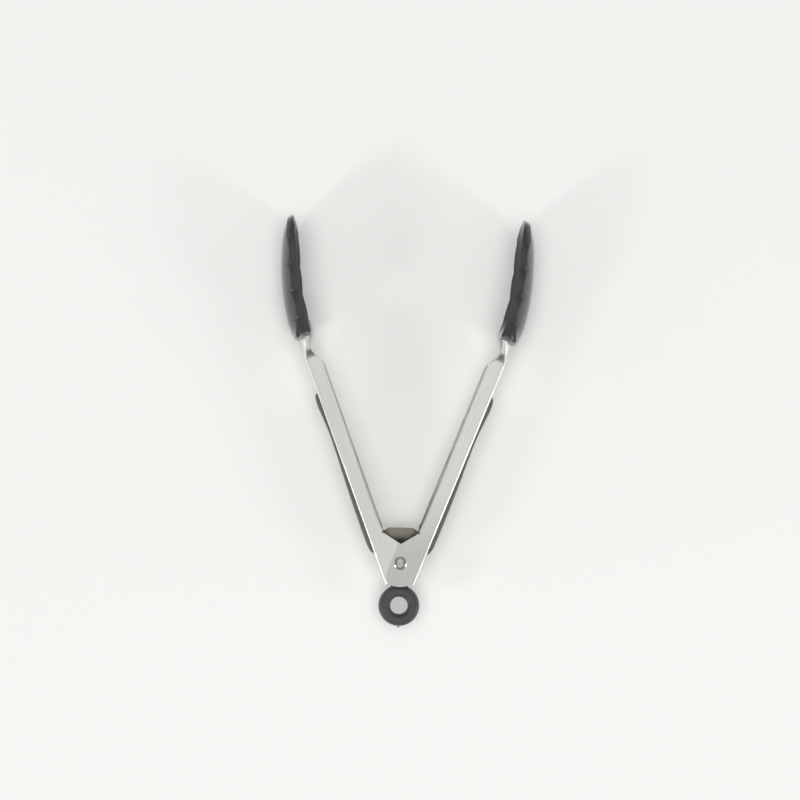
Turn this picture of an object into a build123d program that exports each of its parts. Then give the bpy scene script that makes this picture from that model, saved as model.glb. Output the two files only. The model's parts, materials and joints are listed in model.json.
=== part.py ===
from build123d import *
import os
from math import cos, radians, sin, sqrt

# Spring loaded kitchen tongs, in millimetres, lying on one side.
# +Y runs from the pull ring to the tips, +X to the right arm, +Z up along the hinge pin.
# The origin is the bottom centre of the open tongs' bounding box.
#
# Each arm is drawn in its own frame: X outward, Y along the arm, Z along the pin,
# with the pin at (arm_pin_x, arm_pin_y).

# Whole tool
half_opening = 21.0
pin_y = -59.6
mid_z = 14.0

# Stamped arms
arm_pin_x = -0.32
arm_pin_y = 0.84
sheet = 0.8
ear_gap = 0.06
channel_width = 17.2
web_x = 8.7
web_end_y = -5.6
flange_x = 2.1
bend_radius = 1.1
ear_inner_x = -3.9
ear_radius = 10.0
ear_top_y = 7.6
flange_start_y = 15.5
flange_end_y = 93.2
neck_width = 12.0
taper_start_y = 95.6
neck_y = 100.6
neck_end_y = 110.5
core_end_y = 146.8
relief_radius = 0.5

# Hinge pin, spacers and lock
pin_diameter = 3.5
pin_clearance = 0.05
pin_head_diameter = 5.8
pin_head_height = 1.3
spacer_diameter = 5.4
lock_thickness = 1.2
lock_travel = 6.0
side_play = 0.07

# Torsion spring
wire_diameter = 1.1
leg_diameter = 0.95
coil_radius = 3.55
coil_pitch = 1.25
coil_turns = 3 + (180 - 2 * half_opening) / 360

# Handle grips
grip_start_y = 7.7
grip_end_y = 80.8
grip_width = 13.6
grip_peg_ys = (29.5, 48.0, 66.5)
peg_diameter = 3.0
peg_button_diameter = 4.6
peg_button_height = 0.7

# Silicone heads
head_width = 28.0
head_start_y = 105.4
tip_y = 156.3
scallop_start_y = 113.0
scallop_pitch = 11.3
scallop_count = 3
scallop_depth = 1.3
collar_half_width = 10.6

# Pull ring
ring_y = -19.1
ring_radius = 8.8
ring_hole_radius = 3.7
ring_thickness = 5.4
ring_boss_width = 7.4
ring_boss_top_y = -7.6

half_channel = channel_width / 2
arm_shift = (sheet + ear_gap) / 2
outer_face_z = half_channel + arm_shift
inner_face_z = half_channel - arm_shift - sheet


def along_pin(profile, z_low, z_high):
    """Extrude a profile drawn in the XY plane between two heights."""
    return extrude(Pos(0, 0, z_low) * profile, z_high - z_low)


def across_arm(profile, x_low, x_high):
    """Extrude a profile drawn in (Y, Z) of the arm between two X positions."""
    plane = Plane(origin=(x_low, 0, 0), x_dir=(0, 1, 0), z_dir=(1, 0, 0))
    return extrude(plane * profile, x_high - x_low)


def disc(radius, x, y, z_low, z_high):
    """A round disc or pin along Z."""
    return along_pin(Pos(x, y) * Circle(radius), z_low, z_high)


# ---------------------------------------------------------------- arms

def neck_line(offset):
    """Outer edge of the web from the flange end to the head, moved inward by offset."""
    return Spline(
        (web_x - offset, taper_start_y),
        (8.35 - offset, neck_y),
        (7.9 - offset, 105.3),
        (8.5 - offset, neck_end_y),
        tangents=[(0, 1), (0.2, 1)],
    )


def core_line(offset):
    """Outer edge of the tongue inside the head, moved inward by offset."""
    return Spline(
        (8.5 - offset, neck_end_y),
        (9.0 - offset, 114.8),
        (7.9 - offset, 123.4),
        (5.8 - offset, 131.6),
        (3.1 - offset, 139.8),
        (0.3 - offset, core_end_y),
        tangents=[(0.2, 1), (-0.4, 1)],
    )


def flange_outline():
    """Side view of a flange with its ear, the neck and the tongue."""
    reach = 7.0
    ear_bottom_x = arm_pin_x + reach
    ear_bottom_y = arm_pin_y - sqrt(ear_radius**2 - reach**2)
    middle = radians(22)
    tongue = core_line(0)
    tongue_inside = core_line(sheet)
    edges = [
        ThreePointArc(
            (ear_bottom_x, ear_bottom_y),
            (arm_pin_x + ear_radius * sin(middle), arm_pin_y - ear_radius * cos(middle)),
            (arm_pin_x, arm_pin_y - ear_radius),
        ),
        ThreePointArc((arm_pin_x, arm_pin_y - ear_radius), (-2.9, -7.35), (ear_inner_x, -4.2)),
        Polyline((ear_inner_x, -4.2), (ear_inner_x, ear_top_y), (flange_x, flange_start_y)),
        Polyline((flange_x, flange_start_y), (flange_x, flange_end_y), (4.7, 97.2)),
        Spline((4.7, 97.2), (5.3, neck_y), (3.7, 105.3), (3.4, 108.6)),
        Line((3.4, 108.6), tongue_inside @ 0),
        tongue_inside,
        Line(tongue_inside @ 1, tongue @ 1),
        tongue,
        neck_line(0),
        Polyline((web_x, taper_start_y), (web_x, web_end_y), (ear_bottom_x, ear_bottom_y)),
    ]
    relief = Pos(flange_x + 0.1, flange_start_y + 0.3) * Circle(relief_radius)
    return make_face(Curve() + edges) - relief


def plan_outline(inset):
    """Arm seen square to the web: a wide channel that draws in to the neck and tongue."""
    wide = half_channel - inset
    narrow = neck_width / 2 - inset
    low = -12.0
    end_radius = narrow - 1
    shoulder_y = core_end_y - end_radius
    taper = Spline((taper_start_y, wide), (neck_y, narrow), tangents=[(1, 0), (1, 0)])
    corner = end_radius * (1 - sqrt(0.5))
    half = [
        Line((low, wide), (taper_start_y, wide)),
        taper,
        Line((neck_y, narrow), (shoulder_y, narrow)),
        ThreePointArc((shoulder_y, narrow), (core_end_y - corner, narrow - corner), (core_end_y, 1)),
    ]
    other_half = [mirror(edge, Plane.XZ) for edge in half]
    ends = [Line((low, -wide), (low, wide)), Line((core_end_y, 1), (core_end_y, -1))]
    return make_face(Curve() + half + other_half + ends)


def arm():
    """One stamped arm in its own frame, with its channel moved up the pin by the ear overlap."""
    outer = along_pin(flange_outline(), -half_channel, half_channel)
    outer &= across_arm(plan_outline(0), -20, 20)
    open_side_x = -9.6
    section = RectangleRounded(web_x - open_side_x, channel_width, bend_radius)
    outer &= Pos((web_x + open_side_x) / 2, 0, 0) * extrude(Plane.XZ * section, 160, both=True)

    hollow_edges = [
        Polyline((-20, 160), (-20, -20), (web_x - sheet, -20), (web_x - sheet, taper_start_y)),
        neck_line(sheet),
        core_line(sheet),
        Polyline(core_line(sheet) @ 1, (-2, 160), (-20, 160)),
    ]
    hollow = along_pin(make_face(Curve() + hollow_edges), -half_channel, half_channel)
    body = outer - (hollow & across_arm(plan_outline(sheet), -25, 20))

    body -= disc(pin_diameter / 2 + pin_clearance, arm_pin_x, arm_pin_y, -20, 20)
    for y in grip_peg_ys:
        body -= across_arm(Pos(y, 0) * Circle(peg_diameter / 2), web_x - 2, web_x + 2)
    return Pos(0, 0, arm_shift) * body


# ---------------------------------------------------------------- grips

def grip():
    """Soft pad along the outside of the web, thinner at its waist, with pegs through the web."""
    back = Spline(
        (web_x + 1.9, 12.0),
        (web_x + 1.95, 30.0),
        (web_x + 1.6, 44.0),
        (web_x + 1.15, 61.0),
        (web_x + 1.6, 70.0),
        (web_x + 1.95, 76.5),
    )
    start = Spline((web_x, grip_start_y), (web_x + 1.3, 9.0), back @ 0, tangents=[(0.8, 0.2), (0, 1)])
    end = Spline(back @ 1, (web_x + 1.5, 80.2), (web_x, grip_end_y), tangents=[(0, 1), (-1, 0)])
    edges = [start, back, end, Line((web_x, grip_end_y), (web_x, grip_start_y))]
    pad = along_pin(make_face(Curve() + edges), -grip_width / 2, grip_width / 2)
    length = grip_end_y - grip_start_y
    outline = Pos(grip_start_y + length / 2, 0) * RectangleRounded(length, grip_width, 5.5)
    pad &= across_arm(outline, web_x, web_x + 4)
    for y in grip_peg_ys:
        pad += across_arm(Pos(y, 0) * Circle(peg_diameter / 2), web_x - sheet - 0.1, web_x + 0.5)
        button_top = web_x - sheet
        pad += across_arm(
            Pos(y, 0) * Circle(peg_button_diameter / 2), button_top - peg_button_height, button_top
        )
    return Pos(0, 0, arm_shift) * pad


# ---------------------------------------------------------------- heads

def head_section(y, back_x, edge_x, rim_x, inner_x):
    """Closed section across the head: domed back, side walls and a dished inner face."""
    reach = head_width / 2
    back = ThreePointArc((edge_x, reach), (back_x, 0), (edge_x, -reach))
    inner = ThreePointArc((rim_x, -reach), (inner_x, 0), (rim_x, reach))
    sides = [Line((edge_x, -reach), (rim_x, -reach)), Line((rim_x, reach), (edge_x, reach))]
    face = make_face(Curve() + [back, sides[0], inner, sides[1]])
    plane = Plane(origin=(0, y, 0), x_dir=(1, 0, 0), z_dir=(0, -1, 0))
    return plane * face


def head_plan():
    """Outline of the head seen square to its dish: collar, scalloped sides and round tip."""
    half = head_width / 2
    valley = half - scallop_depth
    collar = collar_half_width
    edges = [Spline((head_start_y, collar), (109.0, collar + 1.6), (scallop_start_y, valley))]
    end = scallop_start_y
    for _ in range(scallop_count):
        start, end = end, end + scallop_pitch
        edges.append(ThreePointArc((start, valley), ((start + end) / 2, half), (end, valley)))
    edges.append(
        Spline((end, valley), (150.4, 12.6), (153.8, 9.2), (tip_y, 0), tangents=[(1, 0.3), (0, -1)])
    )
    other_half = [mirror(edge, Plane.XZ) for edge in edges]
    closing = Line((head_start_y, -collar), (head_start_y, collar))
    return make_face(Curve() + edges + other_half + [closing])


def head():
    """Scoop shaped silicone head, moulded over the neck and the core plate."""
    sections = [
        head_section(104.8, 10.2, 8.6, 1.9, 2.1),
        head_section(109.5, 10.7, 6.8, 2.1, 3.4),
        head_section(114.4, 10.6, 5.6, 2.0, 6.2),
        head_section(123.4, 9.4, 4.6, 0.9, 6.4),
        head_section(131.6, 7.3, 2.7, -1.2, 4.3),
        head_section(139.8, 4.6, 0.3, -3.5, 1.5),
        head_section(147.9, 1.1, -2.4, -5.9, -2.0),
        head_section(153.5, -2.6, -5.0, -7.4, -5.4),
        head_section(158.0, -6.6, -7.5, -8.8, -8.2),
    ]
    blank = loft(sections)
    return blank & across_arm(head_plan(), -30, 30)


# ---------------------------------------------------------------- pin, spacers, spring

def pin_head():
    """Low dome on the +Z side of the XY plane."""
    radius = pin_head_diameter / 2
    profile = make_face(
        Curve()
        + [
            Line((0, 0), (radius, 0)),
            Spline((radius, 0), (radius - 0.25, 0.65), (0, pin_head_height), tangents=[(0, 1), (-1, 0)]),
            Line((0, pin_head_height), (0, 0)),
        ]
    )
    return revolve(Plane.XZ * profile, Axis.Z)


def pivot_rivet():
    """Solid rivet with a dome at each end."""
    seat_z = outer_face_z + side_play
    rivet = disc(pin_diameter / 2, 0, 0, -seat_z, seat_z)
    top = Pos(0, 0, seat_z) * pin_head()
    bottom = Rot(180, 0, 0) * top
    return rivet + top + bottom


def spacer():
    """Tube on the rivet that keeps the ears and the lock plate apart."""
    low = lock_thickness / 2 + side_play
    high = inner_face_z - side_play
    tube = Circle(spacer_diameter / 2) - Circle(pin_diameter / 2)
    return along_pin(tube, low, high)


def spring_leg(z):
    """Right hand leg of the spring, along the right arm and measured from the pin."""
    contact_x = web_x - arm_pin_x - sheet - leg_diameter / 2 - 0.05
    points = [(coil_radius, -0.3, z), (coil_radius, 5.5, z), (contact_x, 11.5, z), (contact_x, 24.0, z)]
    path = FilletPolyline(*points, radius=2.0)
    profile = Plane(origin=points[0], z_dir=(0, 1, 0)) * Circle(leg_diameter / 2)
    return sweep(profile, path)


def torsion_spring():
    """Coil round the upper spacer with a leg against each web."""
    low_z = 1.5
    high_z = low_z + coil_pitch * coil_turns
    helix = Helix(coil_pitch, coil_pitch * coil_turns, coil_radius, lefthand=True)
    start = Plane(origin=helix @ 0, z_dir=helix % 0)
    coil = sweep(start * Circle(wire_diameter / 2), helix)
    coil = Pos(0, 0, low_z) * (Rot(0, 0, -half_opening) * coil)
    right_leg = Rot(0, 0, -half_opening) * spring_leg(low_z)
    left_leg = Rot(0, 0, half_opening) * mirror(spring_leg(high_z), Plane.YZ)
    return coil + right_leg + left_leg


# ---------------------------------------------------------------- lock

def lock_plate():
    """Flat T shaped plate that slides along the tool with the rivet in its slot."""
    half_stem = 3.6
    half_shoulder = 7.8
    half_crown = 5.5
    shoulder_y = 9.5
    crown_y = 14.3
    corner_radius = 0.9
    right_edge = [
        (half_stem, -14.5),
        (half_stem, 6.3),
        (half_shoulder, shoulder_y),
        (half_shoulder, crown_y - 2),
        (half_crown, crown_y),
    ]
    left_edge = [(-x, y) for x, y in reversed(right_edge)]
    outline = Polygon(*right_edge, *left_edge, align=None)
    corners = outline.vertices().filter_by(lambda corner: corner.Y > shoulder_y - 0.1)
    outline = fillet(corners, corner_radius)
    slot_radius = pin_diameter / 2 + pin_clearance
    slot = SlotCenterToCenter(lock_travel, 2 * slot_radius)
    slot = Pos(0, lock_travel / 2) * Rot(0, 0, 90) * slot
    return along_pin(outline - slot, -lock_thickness / 2, lock_thickness / 2)


def pull_ring():
    """Round moulded ring on the tail of the lock plate."""
    width = ring_radius - ring_hole_radius
    middle = ring_hole_radius + width / 2
    section = Pos(middle, 0) * Rectangle(width, ring_thickness)
    inner_corners = section.vertices().filter_by(lambda corner: corner.X < middle)
    section = fillet(inner_corners, 1.6)
    outer_corners = section.vertices().filter_by(lambda corner: corner.X > ring_radius - 0.1)
    section = fillet(outer_corners, 2.5)
    ring = revolve(Plane.XZ * section, Axis.Z)

    boss_length = ring_boss_top_y - (ring_y + middle)
    boss = Box(ring_boss_width, boss_length, 3.4, align=(Align.CENTER, Align.MIN, Align.CENTER))
    boss = Pos(0, middle) * fillet(boss.edges().filter_by(Axis.Y), 1.2)
    stub = Cone(0.45, 0.2, 1.1, align=(Align.CENTER, Align.CENTER, Align.MIN))
    stub = Pos(0, 0.3 - ring_radius) * Rot(90, 0, 0) * stub
    return Pos(0, ring_y) * (ring + boss + stub) - lock_plate()


# ---------------------------------------------------------------- assembly

def right_side(shape):
    """Turn a shape from the arm frame to the open position on the right."""
    return Rot(0, 0, -half_opening) * (Pos(-arm_pin_x, -arm_pin_y) * shape)


def left_side(shape):
    """The same shape half a turn about the tool's long axis."""
    return Rot(0, 180, 0) * right_side(shape)


def write(name, shape):
    """Move a shape to the tool's frame and write its STEP file."""
    placed = Pos(0, pin_y, mid_z) * shape
    placed.label = name
    export_step(placed, f"parts/{name}.step")


def main():
    """Build every piece and write one STEP file for each."""
    os.makedirs("parts", exist_ok=True)
    steel = arm()
    pad = grip()
    tip = head() - steel
    pieces = {
        "left_arm": left_side(steel),
        "right_arm": right_side(steel),
        "left_grip": left_side(pad),
        "right_grip": right_side(pad),
        "left_head": left_side(tip),
        "right_head": right_side(tip),
        "pivot_rivet": pivot_rivet(),
        "upper_spacer": spacer(),
        "lower_spacer": Rot(180, 0, 0) * spacer(),
        "torsion_spring": torsion_spring(),
        "lock_plate": lock_plate(),
        "pull_ring": pull_ring(),
    }
    for name, shape in pieces.items():
        write(name, shape)


main()
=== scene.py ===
import json
import math

import bmesh
import bpy
from mathutils import Matrix, Vector


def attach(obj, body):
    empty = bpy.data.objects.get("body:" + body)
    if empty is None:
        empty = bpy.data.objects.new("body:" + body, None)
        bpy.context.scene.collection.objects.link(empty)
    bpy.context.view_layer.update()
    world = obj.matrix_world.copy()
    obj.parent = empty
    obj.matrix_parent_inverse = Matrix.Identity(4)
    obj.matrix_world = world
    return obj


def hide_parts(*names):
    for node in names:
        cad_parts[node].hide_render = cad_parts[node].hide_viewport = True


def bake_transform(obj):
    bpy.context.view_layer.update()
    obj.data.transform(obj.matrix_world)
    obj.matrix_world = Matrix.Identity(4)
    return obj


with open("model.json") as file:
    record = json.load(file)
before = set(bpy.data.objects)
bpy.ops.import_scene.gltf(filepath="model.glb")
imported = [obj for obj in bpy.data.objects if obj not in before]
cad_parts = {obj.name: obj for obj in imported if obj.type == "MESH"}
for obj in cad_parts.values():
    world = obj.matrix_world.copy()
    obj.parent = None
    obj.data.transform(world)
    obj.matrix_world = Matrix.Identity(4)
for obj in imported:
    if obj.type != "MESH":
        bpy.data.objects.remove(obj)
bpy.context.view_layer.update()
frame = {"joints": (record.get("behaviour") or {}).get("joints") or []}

MM = 0.001

# Places from the frame
HINGE = next(joint for joint in frame["joints"] if joint["name"] == "left_hinge")
PIN = Vector(HINGE["pos_m"])
HALF_OPENING = math.radians(21.0)
SIDES = ("left", "right")

# The arm's own frame: X outward, Y along the arm, Z along the pin, in millimetres.
ARM_PIN = (-0.32, 0.84)
LEAN = (
    Matrix.Rotation(-HALF_OPENING, 4, "Z")
    @ Matrix.Scale(MM, 4)
    @ Matrix.Translation((-ARM_PIN[0], -ARM_PIN[1], 0))
)
ARM_FRAMES = {
    "left": Matrix.Translation(PIN) @ Matrix.Rotation(math.pi, 4, "Y") @ LEAN,
    "right": Matrix.Translation(PIN) @ LEAN,
}
PIN_FRAME = Matrix.Translation(PIN) @ Matrix.Scale(MM, 4)


# ---------------------------------------------------------------- mesh helpers

def smoothstep(low, high, value):
    """0 below low, 1 above high and a smooth rise between them."""
    t = min(1.0, max(0.0, (value - low) / (high - low)))
    return t * t * (3 - 2 * t)


def through(points, value):
    """Height of a smooth curve through (position, height) points, by Catmull-Rom spans."""
    if value <= points[0][0]:
        return points[0][1]
    if value >= points[-1][0]:
        return points[-1][1]
    index = max(i for i, point in enumerate(points) if point[0] <= value)
    index = min(index, len(points) - 2)
    x0, y0 = points[index]
    x1, y1 = points[index + 1]
    before = points[max(index - 1, 0)]
    after = points[min(index + 2, len(points) - 1)]
    span = x1 - x0
    slope0 = (y1 - before[1]) / (x1 - before[0])
    slope1 = (after[1] - y0) / (after[0] - x0)
    t = (value - x0) / span
    return (
        (2 * t**3 - 3 * t**2 + 1) * y0
        + (t**3 - 2 * t**2 + t) * span * slope0
        + (3 * t**2 - 2 * t**3) * y1
        + (t**3 - t**2) * span * slope1
    )


def make_object(name, bm, matrix):
    """A smooth shaded object from a bmesh drawn in millimetres, placed by matrix."""
    bm.transform(matrix)
    if matrix.determinant() < 0:
        bmesh.ops.reverse_faces(bm, faces=bm.faces)
    mesh = bpy.data.meshes.new(name)
    bmesh.ops.recalc_face_normals(bm, faces=bm.faces)
    bm.to_mesh(mesh)
    bm.free()
    for polygon in mesh.polygons:
        polygon.use_smooth = True
    piece = bpy.data.objects.new(name, mesh)
    bpy.context.scene.collection.objects.link(piece)
    return piece


def apply_modifiers(piece):
    """Bake a piece's modifiers into its mesh."""
    depsgraph = bpy.context.evaluated_depsgraph_get()
    mesh = bpy.data.meshes.new_from_object(piece.evaluated_get(depsgraph))
    piece.modifiers.clear()
    piece.data = mesh


def bridge(bm, first, second, closed=True):
    """Quads between two rows of vertices of the same length."""
    count = len(first)
    faces = []
    for i in range(count if closed else count - 1):
        j = (i + 1) % count
        faces.append(bm.faces.new((first[i], first[j], second[j], second[i])))
    return faces


# ---------------------------------------------------------------- material helpers

class Nodes:
    """A material's node tree with a Principled shader and short calls to add to it."""

    def __init__(self, name, color, roughness, metallic=0.0):
        self.material = bpy.data.materials.new(name)
        self.material.use_nodes = True
        self.tree = self.material.node_tree
        self.shader = self.tree.nodes["Principled BSDF"]
        self.shader.inputs["Base Color"].default_value = (*color, 1)
        self.shader.inputs["Roughness"].default_value = roughness
        self.shader.inputs["Metallic"].default_value = metallic

    def add(self, kind, **values):
        """A node with its inputs or properties set by name."""
        node = self.tree.nodes.new(kind)
        for key, value in values.items():
            if key in node.inputs:
                node.inputs[key].default_value = value
            else:
                setattr(node, key, value)
        return node

    def link(self, source, target):
        self.tree.links.new(source, target)

    def place(self, rotation=0.0, scale=(1, 1, 1)):
        """Object coordinates turned about the pin's direction, then scaled."""
        coordinates = self.add("ShaderNodeTexCoord")
        turn = self.add("ShaderNodeMapping", vector_type="TEXTURE", Rotation=(0, 0, rotation))
        stretch = self.add("ShaderNodeMapping", Scale=scale)
        self.link(coordinates.outputs["Object"], turn.inputs["Vector"])
        self.link(turn.outputs["Vector"], stretch.inputs["Vector"])
        return stretch.outputs["Vector"]

    def noise(self, vector, scale, detail=2.0, roughness=0.5):
        node = self.add("ShaderNodeTexNoise", Scale=scale, Detail=detail, Roughness=roughness)
        self.link(vector, node.inputs["Vector"])
        return node.outputs["Fac"]

    def ramp(self, value, low, high, start=0.3, end=0.7):
        """Map a 0 to 1 value to the range low to high."""
        node = self.add("ShaderNodeMapRange")
        node.inputs["From Min"].default_value = start
        node.inputs["From Max"].default_value = end
        node.inputs["To Min"].default_value = low
        node.inputs["To Max"].default_value = high
        self.link(value, node.inputs["Value"])
        return node.outputs["Result"]

    def mix_color(self, value, first, second):
        """Blend between two colours by a 0 to 1 value."""
        node = self.add("ShaderNodeMix", data_type="RGBA")
        node.inputs[6].default_value = (*first, 1)
        node.inputs[7].default_value = (*second, 1)
        self.link(value, node.inputs[0])
        return node.outputs[2]

    def bump(self, heights, distance):
        """Chain of bumps; heights is a list of (value, strength)."""
        normal = None
        for value, strength in heights:
            node = self.add("ShaderNodeBump", Strength=strength, Distance=distance)
            self.link(value, node.inputs["Height"])
            if normal:
                self.link(normal, node.inputs["Normal"])
            normal = node.outputs["Normal"]
        self.link(normal, self.shader.inputs["Normal"])

    def set(self, socket, value):
        """Link a value to one of the shader's inputs."""
        self.link(value, self.shader.inputs[socket])


def brushed_steel(name, angle, color, pin_end_shade=1.0):
    """Stainless sheet brushed along its length, with smudges; its colour is scaled down towards the pin end
    as painted shade.
    """
    steel = Nodes(name, color, 0.3, metallic=1.0)
    fine = steel.noise(steel.place(angle, (900, 14, 900)), 6.0, 3.0, 0.6)
    broad = steel.noise(steel.place(angle, (260, 8, 260)), 5.0, 2.0)
    cloud = steel.noise(steel.place(angle, (1, 1, 1)), 60.0, 3.0)
    streaks = steel.mix_color(steel.ramp(broad, 0, 1), tuple(0.93 * c for c in color), color)
    split = steel.add("ShaderNodeSeparateXYZ")
    steel.link(steel.place(), split.inputs["Vector"])
    # Painted shade: the base colour is scaled down near the pin, which darkens that end of the arm.
    near_pin = steel.ramp(split.outputs["Y"], pin_end_shade, 1.0, PIN.y + 0.004, PIN.y + 0.03)
    shade = steel.add("ShaderNodeVectorMath", operation="SCALE")
    steel.link(streaks, shade.inputs["Vector"])
    steel.link(near_pin, shade.inputs["Scale"])
    steel.set("Base Color", shade.outputs["Vector"])
    rough = steel.add("ShaderNodeMath", operation="ADD")
    steel.link(steel.ramp(fine, 0.25, 0.37), rough.inputs[0])
    steel.link(steel.ramp(cloud, 0.0, 0.06), rough.inputs[1])
    steel.set("Roughness", rough.outputs[0])
    steel.bump([(fine, 0.10), (broad, 0.06)], 0.0002)
    return steel.material


def rubber(name, color, roughness, grain, strength, sheen):
    """Moulded soft plastic: fine grain, slight dust and a soft sheen at grazing angles."""
    soft = Nodes(name, color, roughness)
    soft.shader.inputs["Sheen Weight"].default_value = sheen
    soft.shader.inputs["Sheen Roughness"].default_value = 0.35
    vector = soft.place()
    fine = soft.noise(vector, grain, 3.0, 0.6)
    cloud = soft.noise(vector, 90.0, 4.0)
    dusty = tuple(1.25 * c for c in color)
    soft.set("Base Color", soft.mix_color(soft.ramp(cloud, 0, 1), color, dusty))
    soft.set("Roughness", soft.ramp(cloud, roughness - 0.05, roughness + 0.06))
    soft.bump([(fine, strength)], 0.0001)
    return soft.material


def polished_steel(name, color, roughness):
    """Bright round part with faint turning marks."""
    metal = Nodes(name, color, roughness, metallic=1.0)
    vector = metal.place()
    marks = metal.noise(vector, 900.0, 2.0)
    metal.set("Roughness", metal.ramp(marks, roughness, roughness + 0.08))
    metal.bump([(marks, 0.05)], 0.0001)
    return metal.material


def assign(piece, material):
    """Put one material on every face of a piece."""
    if not piece.data.materials:
        piece.data.materials.append(material)
    for index in range(len(piece.data.materials)):
        piece.data.materials[index] = material


# ---------------------------------------------------------------- silicone heads

HEAD_START = 105.4
SCALLOP_START = 113.0
SCALLOP_PITCH = 11.3
SCALLOPS = 3
CREST_HALF = 14.0
BACK_FLUTE = 2.5
RIM_FLUTE = 0.5
TIP_RIDGE = 0.12
TIP_TAPER = 0.04
TIP_BULGE = 0.10
TIP_START = 149.6
TIP_END = 156.3
COLLAR_HALF = 10.8
COLLAR_SWELL = 1.1
HEAD_REACH = 14.0
NOTCH_X = 5.3
NOTCH_HALF_WIDTH = 2.6

# X of the head's faces at places along it: back middle, back edge, rim and middle of the dish
BACK = [(105.3, 9.3), (106.0, 10.1), (107.2, 10.6), (109.5, 10.9), (114.4, 10.8), (123.4, 9.4), (131.6, 7.3),
        (139.8, 4.6), (147.9, 1.1), (153.5, -2.6), (158, -6.6)]
EDGE = [(105.3, 7.9), (106.0, 8.2), (107.2, 7.7), (109.5, 6.5), (114.4, 5.2), (123.4, 4.0), (131.6, 2.1),
        (139.8, -0.3), (147.9, -2.7), (153.5, -5.0), (158, -7.5)]
RIM = [(105.3, 2.9), (106.0, 2.3), (107.2, 2.05), (109.5, 1.95), (114.4, 1.7), (123.4, 0.7), (131.6, -1.3),
       (139.8, -3.5), (147.9, -5.9), (153.5, -7.4), (158, -8.8)]
DISH = [(105.3, 3.3), (106.0, 2.5), (107.2, 2.3), (109.5, 3.2), (114.4, 6.2), (123.4, 6.4), (131.6, 4.3),
        (139.8, 1.5), (147.9, -2.0), (153.5, -5.4), (158, -8.2)]


def head_half_width(y, flute):
    """Half width of the head's outline at a place along it; flute is the depth of the scallops."""
    scallops_end = SCALLOP_START + SCALLOPS * SCALLOP_PITCH
    valley = CREST_HALF - flute
    if y < SCALLOP_START:
        t = (y - HEAD_START) / (SCALLOP_START - HEAD_START)
        return COLLAR_HALF + (valley - COLLAR_HALF) * t + COLLAR_SWELL * math.sin(math.pi * t) ** 0.8
    if y > scallops_end:
        return valley + TIP_RIDGE * smoothstep(scallops_end, TIP_START, y)
    phase = ((y - SCALLOP_START) / SCALLOP_PITCH) % 1.0
    return valley + flute * abs(math.sin(math.pi * phase)) ** 0.6


def head_plan(row, rows, across, flute):
    """Place (y, z) in the head's plan; the last rows curve round the blunt tip."""
    tip_rows = 14
    body_rows = rows - tip_rows
    if row <= body_rows:
        y = HEAD_START + (TIP_START - HEAD_START) * row / body_rows
        return y, across * head_half_width(y, flute)
    a = (row - body_rows) / tip_rows
    length = TIP_END - TIP_START
    y = TIP_START + a * math.sqrt(1 - across * across / 2) * length
    bulge = 1 + TIP_BULGE * (a * across) ** 2
    half = head_half_width(TIP_START, flute) * (1 - TIP_TAPER * a) - TIP_RIDGE * smoothstep(0, 0.5, a)
    return y, across * math.sqrt(1 - a * a / 2) * half * bulge


def build_head(side):
    """Scoop shaped head: dished face, domed back and a scalloped side wall with soft edges."""
    rows, columns, wall_rows = 96, 28, 7
    bm = bmesh.new()

    def surface(middle, edge, flute):
        """One face of the head, curved across from its middle to its edge; returns its border."""
        grid = []
        for row in range(rows + 1):
            line = []
            for column in range(columns + 1):
                y, z = head_plan(row, rows, 2 * column / columns - 1, flute)
                drop = (z / HEAD_REACH) ** 2
                x = through(middle, y) * (1 - drop) + through(edge, y) * drop
                line.append(bm.verts.new((x, y, z)))
            grid.append(line)
        for row in range(rows):
            bridge(bm, grid[row], grid[row + 1], closed=False)
        border = list(grid[0]) + [grid[r][-1] for r in range(1, rows + 1)]
        border += [grid[-1][c] for c in range(columns - 1, -1, -1)]
        border += [grid[r][0] for r in range(rows - 1, 0, -1)]
        return border

    back = surface(BACK, EDGE, BACK_FLUTE)
    dish = surface(DISH, RIM, RIM_FLUTE)
    previous = back
    for level in range(1, wall_rows):
        t = level / wall_rows
        ring = []
        for high, low in zip(back, dish):
            x, y, z = high.co.lerp(low.co, t)
            ring.append(bm.verts.new((x, y, low.co.z + (high.co.z - low.co.z) * (1 - t) ** 2)))
        bridge(bm, previous, ring)
        previous = ring
    bridge(bm, previous, dish)

    notch_depth, cap_rounding = 1.5, 1.0
    for vert in bm.verts:
        x, y, z = vert.co
        toward_side = (z / COLLAR_HALF) ** 2
        notch = notch_depth * max(0.0, 1 - ((x - NOTCH_X) / NOTCH_HALF_WIDTH) ** 2)
        near_end = 1 - smoothstep(HEAD_START, HEAD_START + 5.0, y)
        vert.co.y += (notch + cap_rounding) * toward_side * near_end - cap_rounding * near_end

    rim = set(dish)
    loops = set(back) | rim
    layer = bm.edges.layers.float.new("bevel_weight_edge")
    for edge in bm.edges:
        if edge.verts[0] in loops and edge.verts[1] in loops:
            angle = edge.calc_face_angle(0)
            if angle > math.radians(25):
                edge[layer] = 1.0 if edge.verts[0] in rim else 0.6
    piece = make_object(f"{side}_silicone_head", bm, ARM_FRAMES[side])
    bevel = piece.modifiers.new("soft_edges", "BEVEL")
    bevel.limit_method = "WEIGHT"
    bevel.width = 0.6 * MM
    bevel.segments = 3
    smooth = piece.modifiers.new("smooth", "SUBSURF")
    smooth.levels = smooth.render_levels = 1
    apply_modifiers(piece)
    assign(piece, SILICONE)
    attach(piece, f"{side}_arm")
    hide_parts(f"{side}_head")


# ---------------------------------------------------------------- stamped arms

SHEET = 0.8
WEB_X = 8.7
ARM_SHIFT = 0.43
CHANNEL_HALF = 8.6
BEND = 0.95
WEB_END = -5.6
EAR_RADIUS = 10.0
ARM_END = 108.2
EDGE_CURL = 0.3
CURL_WIDTH = 1.0

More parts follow.
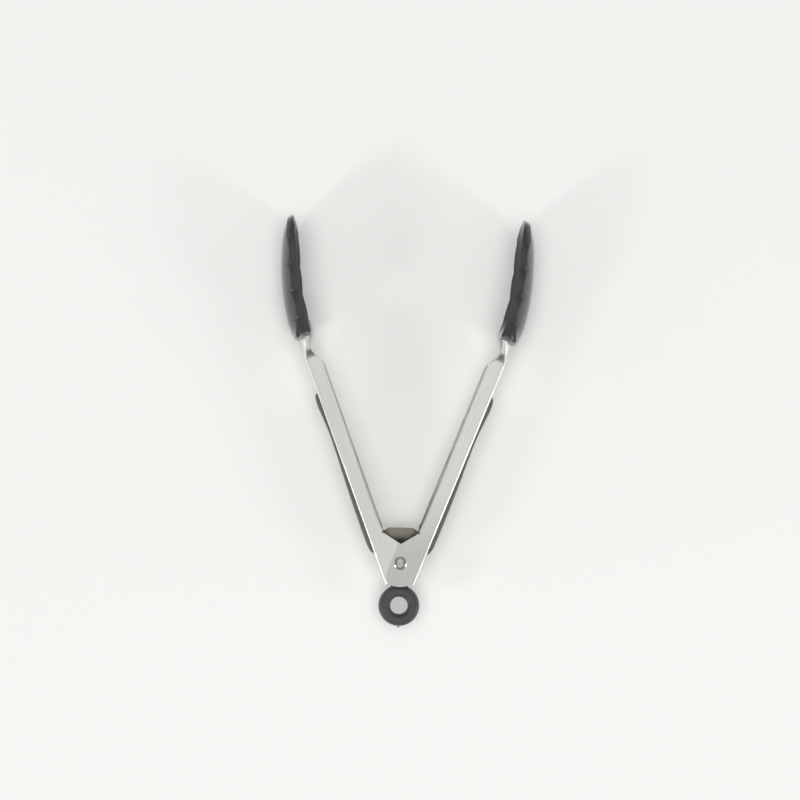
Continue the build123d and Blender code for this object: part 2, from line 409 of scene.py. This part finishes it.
FLANGE_EDGE = [
    (-9.16, -0.32), (-8.95, -1.37), (-8.35, -2.3), (-7.35, -3.05), (-5.95, -3.6), (-4.4, -3.87), (-3.4, -3.9)
]
EAR_SLOPE = ((-3.9, 7.6), (2.05, 15.3))
POCKET = 0.9
POCKET_DEPTH = 0.65
FLANGE_X = 2.1
FLANGE_END = 93.0
CORNER_END = 97.2
NECK_HALF = 6.0
NECK_EDGE = [(97.2, 4.7), (99.0, 5.25), (100.6, 5.35), (103, 4.6), (105.3, 3.7), (109, 3.4), (112, 3.4)]
NECK_BACK = [(95.6, 8.7), (98, 8.6), (100.6, 8.3), (103, 8.0), (105.3, 7.9), (109, 8.2), (112, 8.7)]


def flange_edge(y):
    """X of the flange's free edge at a place along the arm."""
    if y < -3.4:
        return through(FLANGE_EDGE, y)
    (low_x, low_y), (high_x, high_y) = EAR_SLOPE
    if y < low_y:
        return low_x
    if y < high_y:
        return low_x + (high_x - low_x) * (y - low_y) / (high_y - low_y)
    if y < high_y + POCKET:
        place = (y - high_y) / POCKET
        return high_x + POCKET_DEPTH * math.sqrt(max(0.0, 1 - (2 * place - 1) ** 2))
    if y < FLANGE_END:
        return FLANGE_X
    if y < CORNER_END:
        slope = 2.35 * (y - FLANGE_END) / (CORNER_END - FLANGE_END)
        return FLANGE_X + 0.25 * smoothstep(FLANGE_END, FLANGE_END + 0.5, y) + slope
    return through(NECK_EDGE, y)


def arm_rows():
    """Places along the arm, close together where its outline changes."""
    ear_end = ARM_PIN[1] - EAR_RADIUS
    rows = [ear_end + drop for drop in (0.03, 0.1, 0.25, 0.5, 0.8, 1.2, 1.7, 2.2, 2.8, 3.2)]
    rows += [WEB_END, -5.0, -4.4, -3.4, -2, 0, 2, 4, 6, 7.3]
    rows += [7.6 + 0.55 * i for i in range(14)]
    rows += [15.3 + POCKET * (1 - math.cos(math.pi * i / 10)) / 2 for i in range(11)]
    rows += [17 + 4 * i for i in range(19)] + [91, 92.5, 93.0, 93.15, 93.3, 93.5]
    rows += [94 + 0.4 * i for i in range(28)]
    rows += [105.5, 106.5, 107.4, ARM_END]
    return rows


def arm_section(y):
    """Points (x, z) of the sheet's outer face, from one free edge to the other."""
    taper = smoothstep(95.0, 100.4, y)
    half = CHANNEL_HALF + (NECK_HALF - CHANNEL_HALF) * taper
    ridge = smoothstep(95.5, 104.5, y)
    back = through(NECK_BACK, y) if y > 95.6 else WEB_X
    bend_x = BEND + 1.6 * ridge
    bend_z = BEND + 2.3 * ridge
    power = 1.0 + 0.55 * ridge
    edge = flange_edge(y)
    corner_x = back - bend_x
    curl = EDGE_CURL * smoothstep(16.5, 18.5, y) * (1 - 0.6 * smoothstep(25, 75, y))
    curl *= 1 - smoothstep(91, 92.5, y)
    side = []
    for i in range(9):
        inward = (corner_x - edge) * (i / 8) ** 2
        side.append((edge + inward, half - curl * max(0.0, 1 - inward / CURL_WIDTH) ** 2))
    for i in range(1, 9):
        angle = math.pi / 2 * i / 8
        side.append((
            corner_x + bend_x * math.sin(angle) ** power,
            half - bend_z + bend_z * max(0.0, math.cos(angle)) ** power,
        ))
    for i in range(1, 5):
        side.append((back, (half - bend_z) * (1 - i / 4)))
    return side + [(x, -z) for x, z in reversed(side[:-1])]


def build_arm(side):
    """One folded sheet: ears, flanges, web and the drawn neck, with the cut edges eased."""
    bm = bmesh.new()
    web_rows, ear_rows = [], []
    for y in arm_rows():
        if y < WEB_END:
            low = flange_edge(y)
            high = min(WEB_X - BEND, ARM_PIN[0] + math.sqrt(EAR_RADIUS**2 - (y - ARM_PIN[1]) ** 2))
            spots = [low + (high - low) * i / 8 for i in range(9)]
            upper = [bm.verts.new((x, y, CHANNEL_HALF)) for x in spots]
            lower = [bm.verts.new((x, y, -CHANNEL_HALF)) for x in spots]
            ear_rows.append((upper, lower))
        else:
            web_rows.append([bm.verts.new((x, y, z)) for x, z in arm_section(y)])
    first = web_rows[0]
    ear_rows.append((first[:9], list(reversed(first[-9:]))))
    for before, after in zip(ear_rows, ear_rows[1:]):
        bridge(bm, before[0], after[0], closed=False)
        bridge(bm, after[1], before[1], closed=False)
    for before, after in zip(web_rows, web_rows[1:]):
        bridge(bm, before, after, closed=False)
    shift = Matrix.Translation((0, 0, ARM_SHIFT))
    piece = make_object(f"{side}_stamped_arm", bm, ARM_FRAMES[side] @ shift)
    piece.data.materials.append(STEEL[side])
    # The rims and eased edges take the dark edge steel: painted shade for the dark lines along the edges.
    piece.data.materials.append(EDGE_SHADE_STEEL)
    thick = piece.modifiers.new("thickness", "SOLIDIFY")
    thick.thickness = SHEET * MM
    thick.offset = -1
    thick.use_even_offset = True
    thick.material_offset_rim = 1
    eased = piece.modifiers.new("eased_edges", "BEVEL")
    eased.limit_method = "ANGLE"
    eased.angle_limit = math.radians(50)
    eased.width = 0.28 * MM
    eased.segments = 3
    eased.material = 1
    apply_modifiers(piece)
    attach(piece, f"{side}_arm")
    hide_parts(f"{side}_arm")


# ---------------------------------------------------------------- grip pads

GRIP_START = 7.7
GRIP_END = 80.8
GRIP_HALF = 6.8
GRIP_END_RADIUS = 5.6
PEG_PLACES = (29.5, 48.0, 66.5)
GRIP_BACK = [
    (7.7, 0.7), (9.5, 1.5), (13, 1.95), (30, 1.95), (44, 1.6), (55, 1.2), (63, 1.15), (70, 1.6), (76, 1.95),
    (79.6, 1.6), (80.8, 0.8)
]


def build_grip(side):
    """Domed soft pad with rounded ends, thinner at its waist."""
    rows, columns = 90, 20
    bm = bmesh.new()
    length = GRIP_END - GRIP_START
    radius = GRIP_END_RADIUS
    top, foot = [], []
    for row in range(rows + 1):
        t = row / rows
        y = GRIP_START + length * (t - math.sin(2 * math.pi * t) / (2 * math.pi) * 0.75)
        from_end = min(y - GRIP_START, GRIP_END - y)
        half = GRIP_HALF
        if from_end < radius:
            half -= radius - math.sqrt(max(0.0, radius**2 - (radius - from_end) ** 2))
        line, base = [], []
        for column in range(columns + 1):
            across = math.sin(math.pi / 2 * (2 * column / columns - 1))
            z = across * half + ARM_SHIFT
            shoulder = (1 - abs(across) ** 6) ** 0.5
            rise = through(GRIP_BACK, y) * (0.35 + 0.65 * shoulder)
            line.append(bm.verts.new((WEB_X + rise, y, z)))
            base.append(bm.verts.new((WEB_X + 0.02, y, z)))
        top.append(line)
        foot.append(base)
    for row in range(rows):
        bridge(bm, top[row], top[row + 1], closed=False)
        bridge(bm, foot[row], foot[row + 1], closed=False)

    def border(grid):
        """The grid's outer vertices in order."""
        ring = list(grid[0]) + [grid[r][-1] for r in range(1, rows + 1)]
        ring += [grid[-1][c] for c in range(columns - 1, -1, -1)]
        return ring + [grid[r][0] for r in range(rows - 1, 0, -1)]

    bridge(bm, border(top), border(foot))
    for y in PEG_PLACES:
        button = Matrix.Translation((WEB_X - 1.15, y, ARM_SHIFT)) @ Matrix.Rotation(math.pi / 2, 4, "Y")
        bmesh.ops.create_cone(
            bm, cap_ends=True, segments=32, radius1=2.15, radius2=2.3, depth=0.7, matrix=button
        )
    piece = make_object(f"{side}_grip_pad", bm, ARM_FRAMES[side])
    bevel = piece.modifiers.new("soft_edges", "BEVEL")
    bevel.limit_method = "ANGLE"
    bevel.angle_limit = math.radians(40)
    bevel.width = 0.18 * MM
    bevel.segments = 2
    apply_modifiers(piece)
    assign(piece, GRIP_RUBBER)
    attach(piece, f"{side}_arm")
    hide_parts(f"{side}_grip")


# ---------------------------------------------------------------- rivet, spring, ring

def lathe(bm, profile, steps, matrix):
    """Turn (radius, height) points about Z; a radius of 0 closes the end."""
    rings = []
    for radius, height in profile:
        if radius == 0:
            rings.append([bm.verts.new(matrix @ Vector((0, 0, height)))])
            continue
        ring = []
        for step in range(steps):
            angle = 2 * math.pi * step / steps
            spot = Vector((radius * math.cos(angle), radius * math.sin(angle), height))
            ring.append(bm.verts.new(matrix @ spot))
        rings.append(ring)
    for first, second in zip(rings, rings[1:]):
        if len(first) == 1 or len(second) == 1:
            centre, ring = (first[0], second) if len(first) == 1 else (second[0], first)
            for i in range(steps):
                bm.faces.new((centre, ring[i], ring[(i + 1) % steps]))
        else:
            bridge(bm, first, second)


def build_rivet():
    """Polished rivet: a high dome with a set mark in its middle at each end of the shank."""
    radius, shank, seat = 2.9, 1.75, 9.1
    ball, top = 4.7, 1.25
    mark, shoulder, steps = 0.66, 2.82, 14
    dome = [(0.0, 1.06), (0.2, 1.07), (0.38, 1.14), (0.52, 1.2), (mark, 1.21)]
    for step in range(1, steps + 1):
        r = mark + (shoulder - mark) * step / steps
        dome.append((r, top - ball + math.sqrt(ball * ball - r * r)))
    dome += [(2.89, 0.22), (radius, 0.12), (radius - 0.02, 0.0), (radius - 0.08, -0.03)]
    profile = [(r, seat + h) for r, h in dome] + [(shank, seat)]
    profile += [(r, -h) for r, h in reversed(profile)]
    bm = bmesh.new()
    lathe(bm, profile, 64, Matrix.Identity(4))
    piece = make_object("polished_rivet", bm, PIN_FRAME)
    assign(piece, RIVET_STEEL)
    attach(piece, "pivot")
    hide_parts("pivot_rivet")


LOCK_EDGE = [
    (3.6, -14.3), (3.6, 6.1), (3.9, 6.7), (7.35, 9.0), (7.7, 9.4), (7.8, 10.0), (7.8, 11.7), (7.72, 12.1),
    (7.5, 12.45), (6.1, 13.75), (5.7, 14.05), (5.2, 14.22), (4.6, 14.3),
]
SLOT_RADIUS = 1.8
LOCK_TRAVEL = 6.0


def build_lock_plate():
    """Flat sliding plate: rounded shoulders, a slot for the rivet and eased cut edges."""
    outline = LOCK_EDGE + [(-x, y) for x, y in reversed(LOCK_EDGE)]
    slot = []
    for step in range(24):
        angle = 2 * math.pi * (step + 0.5) / 24
        rise = LOCK_TRAVEL if math.sin(angle) > 0 else 0.0
        slot.append((SLOT_RADIUS * math.cos(angle), rise + SLOT_RADIUS * math.sin(angle)))
    bm = bmesh.new()
    for loop in (outline, slot):
        verts = [bm.verts.new((x, y, 0.6)) for x, y in loop]
        for first, second in zip(verts, verts[1:] + verts[:1]):
            bm.edges.new((first, second))
    bmesh.ops.triangle_fill(bm, edges=bm.edges, use_beauty=True, use_dissolve=False)
    piece = make_object("sliding_lock_plate", bm, PIN_FRAME)
    thick = piece.modifiers.new("thickness", "SOLIDIFY")
    thick.thickness = 1.2 * MM
    thick.offset = -1
    eased = piece.modifiers.new("eased_edges", "BEVEL")
    eased.limit_method = "ANGLE"
    eased.angle_limit = math.radians(60)
    eased.width = 0.12 * MM
    eased.segments = 2
    apply_modifiers(piece)
    assign(piece, LOCK_STEEL)
    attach(piece, "lock")
    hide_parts("lock_plate")


def build_spacer(name, level):
    """Moulded tube on the rivet with a small flange at each end and a parting bead."""
    bore, body, flange, low, high = 1.82, 2.55, 2.7, 0.67, 7.3
    middle = (low + high) / 2
    profile = [
        (bore, low), (flange - 0.12, low), (flange, low + 0.12), (flange, low + 0.6), (body, low + 0.75),
        (body, middle - 0.12), (body + 0.06, middle), (body, middle + 0.12), (body, high - 0.75),
        (flange, high - 0.6), (flange, high - 0.12), (flange - 0.12, high), (bore, high), (bore, low),
    ]
    bm = bmesh.new()
    lathe(bm, profile, 40, Matrix.Diagonal((1, 1, level, 1)))
    bmesh.ops.remove_doubles(bm, verts=bm.verts, dist=0.001)
    piece = make_object(f"moulded_{name}", bm, PIN_FRAME)
    assign(piece, SPACER)
    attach(piece, "pivot")
    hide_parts(name)


def tube(bm, points, radius, sides=16):
    """Round wire along a list of points, with closed ends."""
    rings = []
    normal = Vector((0, 0, 1))
    for i, point in enumerate(points):
        ahead = points[min(i + 1, len(points) - 1)] - points[max(i - 1, 0)]
        tangent = ahead.normalized()
        across = tangent.cross(normal).normalized()
        up = across.cross(tangent)
        ring = []
        for k in range(sides):
            angle = 2 * math.pi * k / sides
            ring.append(bm.verts.new(point + radius * (math.cos(angle) * across + math.sin(angle) * up)))
        rings.append(ring)
    for first, second in zip(rings, rings[1:]):
        bridge(bm, first, second)
    bm.faces.new(rings[0])
    bm.faces.new(reversed(rings[-1]))


WIRE_RADIUS = 0.52
COIL_RADIUS = 3.55
COIL_LOW = 1.5
COIL_PITCH = 1.25


def build_spring(side):
    """Half of the torsion spring: half of the coil and the leg against one web."""
    turns = 3 + (math.pi - 2 * HALF_OPENING) / (2 * math.pi)
    height = COIL_PITCH * turns
    sign = 1 if side == "right" else -1
    leg_z = COIL_LOW if side == "right" else COIL_LOW + height
    lean = Matrix.Rotation(-sign * HALF_OPENING, 4, "Z")
    contact = WEB_X - ARM_PIN[0] - SHEET - WIRE_RADIUS - 0.05
    points = []
    for i in range(40):
        y = 24.0 * (1 - i / 40)
        x = COIL_RADIUS + (contact - COIL_RADIUS) * smoothstep(4.5, 12.5, y)
        points.append(lean @ Vector((sign * x, y, leg_z)))
    steps = 90
    for i in range(steps + 1):
        angle = turns * math.pi * i / steps
        start = -HALF_OPENING if side == "right" else math.pi + HALF_OPENING
        turn = start - sign * angle
        z = leg_z + sign * height / 2 * i / steps
        points.append(Vector((COIL_RADIUS * math.cos(turn), COIL_RADIUS * math.sin(turn), z)))
    bm = bmesh.new()
    tube(bm, points, WIRE_RADIUS)
    piece = make_object(f"{side}_spring_half", bm, PIN_FRAME)
    assign(piece, SPRING_STEEL)
    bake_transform(piece)
    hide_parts("torsion_spring")


def build_ring():
    """Moulded pull ring with a soft section, a boss up to the ears and the gate's stub."""
    hole, outer, half_height = 3.7, 8.8, 2.7
    middle = (hole + outer) / 2
    profile = []
    for step in range(33):
        angle = 2 * math.pi * step / 32
        c, n = math.cos(angle), math.sin(angle)
        x = (outer - hole) / 2 * math.copysign(abs(c) ** 0.86, c)
        profile.append((middle + x, half_height * math.copysign(abs(n) ** 0.86, n)))
    ring_y = -19.1
    bm = bmesh.new()
    lathe(bm, profile, 96, Matrix.Translation((0, ring_y, 0)))
    bmesh.ops.remove_doubles(bm, verts=bm.verts, dist=0.001)
    rows = []
    for y, grow in ((-13.4, 1.0), (-9.4, 1.0), (-8.0, 0.98), (-7.65, 0.9)):
        row = []
        for step in range(36):
            angle = 2 * math.pi * step / 36
            c, n = math.cos(angle), math.sin(angle)
            x = 3.7 * grow * math.copysign(abs(c) ** 0.5, c)
            z = 1.7 * grow * math.copysign(abs(n) ** 0.6, n)
            row.append(bm.verts.new((x, y, z)))
        rows.append(row)
    for first, second in zip(rows, rows[1:]):
        bridge(bm, first, second)
    bm.faces.new(rows[0])
    bm.faces.new(reversed(rows[-1]))
    stub = Matrix.Translation((0, ring_y - outer + 0.3, 0)) @ Matrix.Rotation(math.pi / 2, 4, "X")
    lathe(bm, [(0, -0.4), (0.5, -0.3), (0.42, 0.2), (0.26, 0.8), (0.2, 1.05), (0, 1.1)], 16, stub)
    piece = make_object("moulded_pull_ring", bm, PIN_FRAME)
    assign(piece, RING_PLASTIC)
    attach(piece, "lock")
    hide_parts("pull_ring")


# ---------------------------------------------------------------- camera, floor, lights

def build_world():
    """Studio surroundings: bright low down at the sides, dimmer overhead and at the two ends."""
    world = bpy.data.worlds.new("studio")
    bpy.context.scene.world = world
    world.use_nodes = True
    tree = world.node_tree
    background = tree.nodes["Background"]
    coordinates = tree.nodes.new("ShaderNodeTexCoord")
    split = tree.nodes.new("ShaderNodeSeparateXYZ")
    ramp = tree.nodes.new("ShaderNodeValToRGB")
    tree.links.new(coordinates.outputs["Generated"], split.inputs[0])
    end_walls = tree.nodes.new("ShaderNodeMath")
    end_walls.operation = "ABSOLUTE"
    height = tree.nodes.new("ShaderNodeMath")
    height.operation = "MULTIPLY_ADD"
    height.inputs[1].default_value = 0.3
    tree.links.new(split.outputs["Y"], end_walls.inputs[0])
    tree.links.new(end_walls.outputs["Value"], height.inputs[0])
    tree.links.new(split.outputs["Z"], height.inputs[2])
    tree.links.new(height.outputs["Value"], ramp.inputs["Fac"])
    tree.links.new(ramp.outputs["Color"], background.inputs["Color"])
    stops = ramp.color_ramp.elements
    stops[0].position, stops[0].color = 0.09, (1.0, 1.0, 1.0, 1)
    stops[1].position, stops[1].color = 1.0, (0.34, 0.34, 0.34, 1)
    for place, level in ((0.17, 0.48), (0.28, 0.46), (0.60, 0.10), (0.86, 0.15), (0.96, 0.32)):
        stop = stops.new(place)
        stop.color = (level, level, level, 1)
    rays = tree.nodes.new("ShaderNodeLightPath")
    strength = tree.nodes.new("ShaderNodeMapRange")
    strength.inputs["To Min"].default_value = 2.2
    strength.inputs["To Max"].default_value = 1.5
    tree.links.new(rays.outputs["Is Diffuse Ray"], strength.inputs["Value"])
    tree.links.new(strength.outputs["Result"], background.inputs["Strength"])


def build_floor():
    """Pale paper under the tool."""
    size = 3.0
    bm = bmesh.new()
    bmesh.ops.create_grid(bm, x_segments=1, y_segments=1, size=size)
    floor = make_object("floor", bm, Matrix.Translation((0, 0, -0.0002)))
    paper = Nodes("paper", (0.86, 0.86, 0.845), 0.9)
    tone = paper.noise(paper.place(), 2.0, 2.0)
    darker, lighter = (0.855, 0.857, 0.835), (0.87, 0.87, 0.852)
    paper.set("Base Color", paper.mix_color(paper.ramp(tone, 0, 1), darker, lighter))
    assign(floor, paper.material)


def build_lights():
    """A key light at the lower left, a weaker one at the right and a wide soft one overhead."""
    def area(name, place, size, power):
        data = bpy.data.lights.new(name, "AREA")
        data.shape = "DISK"
        data.size = size
        data.energy = power
        lamp = bpy.data.objects.new(name, data)
        bpy.context.scene.collection.objects.link(lamp)
        lamp.location = place
        lamp.rotation_euler = (-Vector(place)).to_track_quat("-Z", "Y").to_euler()
        return lamp

    area("key", (-1.3, -0.95, 0.75), 0.34, 5.5)
    area("fill", (1.1, -0.55, 0.55), 0.35, 3)
    overhead = area("overhead", (-0.05, 0.05, 1.9), 1.6, 24)
    overhead.visible_glossy = False


def build_camera():
    """Camera straight above, turned slightly about its view."""
    distance = 0.6
    above_pin = 0.0692
    roll = math.radians(1.45)
    data = bpy.data.cameras.new("camera")
    data.sensor_width = 36
    data.lens = 62.8
    data.shift_x = 0.022
    camera = bpy.data.objects.new("camera", data)
    bpy.context.scene.collection.objects.link(camera)
    up = Vector((-math.sin(roll), math.cos(roll), 0))
    right = Vector((math.cos(roll), math.sin(roll), 0))
    middle = PIN + up * above_pin
    view_width = distance * data.sensor_width / data.lens
    camera.location = middle - right * (data.shift_x * view_width) + Vector((0, 0, distance))
    camera.rotation_euler = (0, 0, roll)
    bpy.context.scene.camera = camera
    bpy.context.scene.view_settings.view_transform = "Standard"


# ---------------------------------------------------------------- materials and assembly

SILICONE = rubber("silicone", (0.024, 0.0245, 0.024), 0.32, 3500.0, 0.10, 0.55)
GRIP_RUBBER = rubber("grip_rubber", (0.085, 0.083, 0.077), 0.55, 2500.0, 0.2, 0.3)
RING_PLASTIC = rubber("ring_plastic", (0.045, 0.045, 0.044), 0.42, 2500.0, 0.12, 0.2)
# Both arms are one steel: the right arm's colour is painted lighter than the left's as painted light, and
# its end near the pin is darkened as painted shade.
STEEL = {
    "left": brushed_steel("left_arm_steel", HALF_OPENING, (0.91, 0.9, 0.87)),
    "right": brushed_steel("right_arm_steel", -HALF_OPENING, (0.95, 0.945, 0.915), 0.76),
}
# Painted shade: a dark steel on the sheet's rims and eased edges draws dark lines along the arms' edges.
EDGE_SHADE_STEEL = polished_steel("edge_line_shade_steel", (0.45, 0.44, 0.41), 0.4)
# Painted shade: the lock plate's steel is given a dark brownish colour for the shade it sits in between the
# arms.
LOCK_STEEL = brushed_steel("lock_steel", 0.0, (0.33, 0.30, 0.265))
RIVET_STEEL = polished_steel("rivet_steel", (0.66, 0.645, 0.62), 0.16)
SPRING_STEEL = polished_steel("spring_steel", (0.55, 0.55, 0.54), 0.25)
SPACER = rubber("spacer_plastic", (0.5, 0.48, 0.43), 0.4, 2500.0, 0.05, 0.0)

for side in SIDES:
    build_arm(side)
    build_head(side)
    build_grip(side)
    build_spring(side)
build_rivet()
build_ring()
build_lock_plate()
build_spacer("upper_spacer", 1)
build_spacer("lower_spacer", -1)
build_floor()
build_world()
build_lights()
build_camera()
